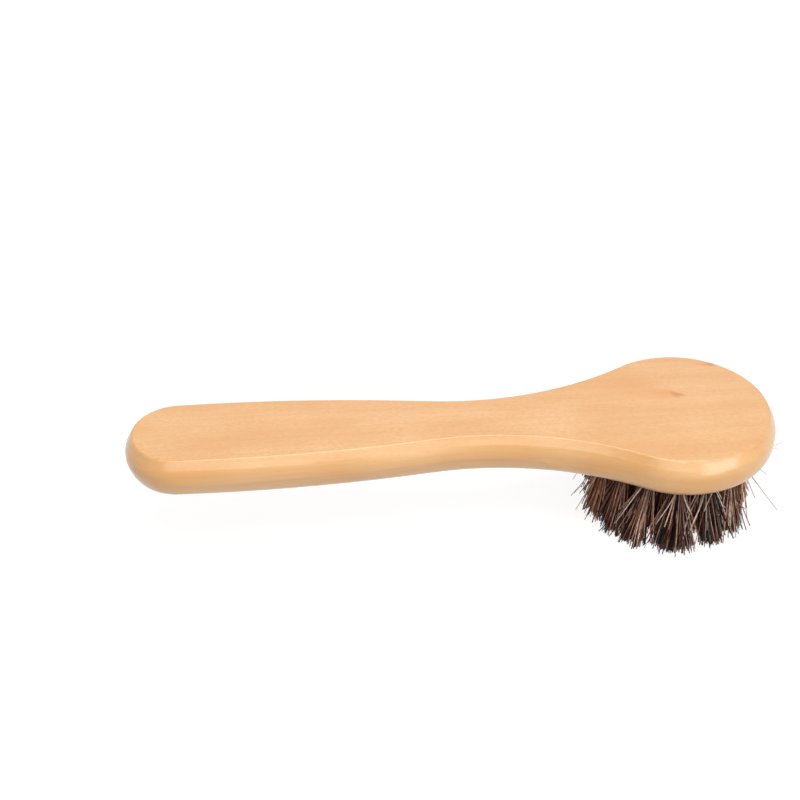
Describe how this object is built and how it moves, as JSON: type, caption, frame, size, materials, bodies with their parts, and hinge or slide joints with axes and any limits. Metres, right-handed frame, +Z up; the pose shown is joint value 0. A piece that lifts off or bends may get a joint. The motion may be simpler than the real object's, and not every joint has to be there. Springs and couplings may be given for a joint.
{
  "type": "shoe shine brush",
  "caption": "Hand brush for shining shoes: a flat wooden handle that widens to a round head, set underneath with splayed horsehair tufts.",
  "frame": {"origin": "middle of the bristle field, in the plane of the bristle tips", "axes": "+X to the front of the round head, so the handle runs along -X; +Z up through the wood to its flat back; +Y across the head"},
  "size_m": [0.165, 0.0488, 0.0295],
  "materials": {
    "lacquered_wood": "pale honey-coloured close-grained hardwood, sanded smooth, under a clear satin lacquer",
    "horsehair": "natural mixed horsehair, dark brown to black with lighter tan and grey strands",
    "anchor_wire": "flat drawn wire, cut square"
  },
  "bodies": {
    "root": {"wooden_handle": "lacquered_wood", "tuft_centre": "horsehair", "tuft_inner_01": "horsehair", "tuft_inner_02": "horsehair", "tuft_inner_03": "horsehair", "tuft_inner_04": "horsehair", "tuft_inner_05": "horsehair", "tuft_middle_01": "horsehair", "tuft_middle_02": "horsehair", "tuft_middle_03": "horsehair", "tuft_middle_04": "horsehair", "tuft_middle_05": "horsehair", "tuft_middle_06": "horsehair", "tuft_middle_07": "horsehair", "tuft_middle_08": "horsehair", "tuft_middle_09": "horsehair", "tuft_middle_10": "horsehair", "tuft_outer_01": "horsehair", "tuft_outer_02": "horsehair", "tuft_outer_03": "horsehair", "tuft_outer_04": "horsehair", "tuft_outer_05": "horsehair", "tuft_outer_06": "horsehair", "tuft_outer_07": "horsehair", "tuft_outer_08": "horsehair", "tuft_outer_09": "horsehair", "tuft_outer_10": "horsehair", "tuft_outer_11": "horsehair", "tuft_outer_12": "horsehair", "tuft_outer_13": "horsehair", "tuft_outer_14": "horsehair", "tuft_outer_15": "horsehair", "tuft_anchors": "anchor_wire"}
  },
  "joints": []
}
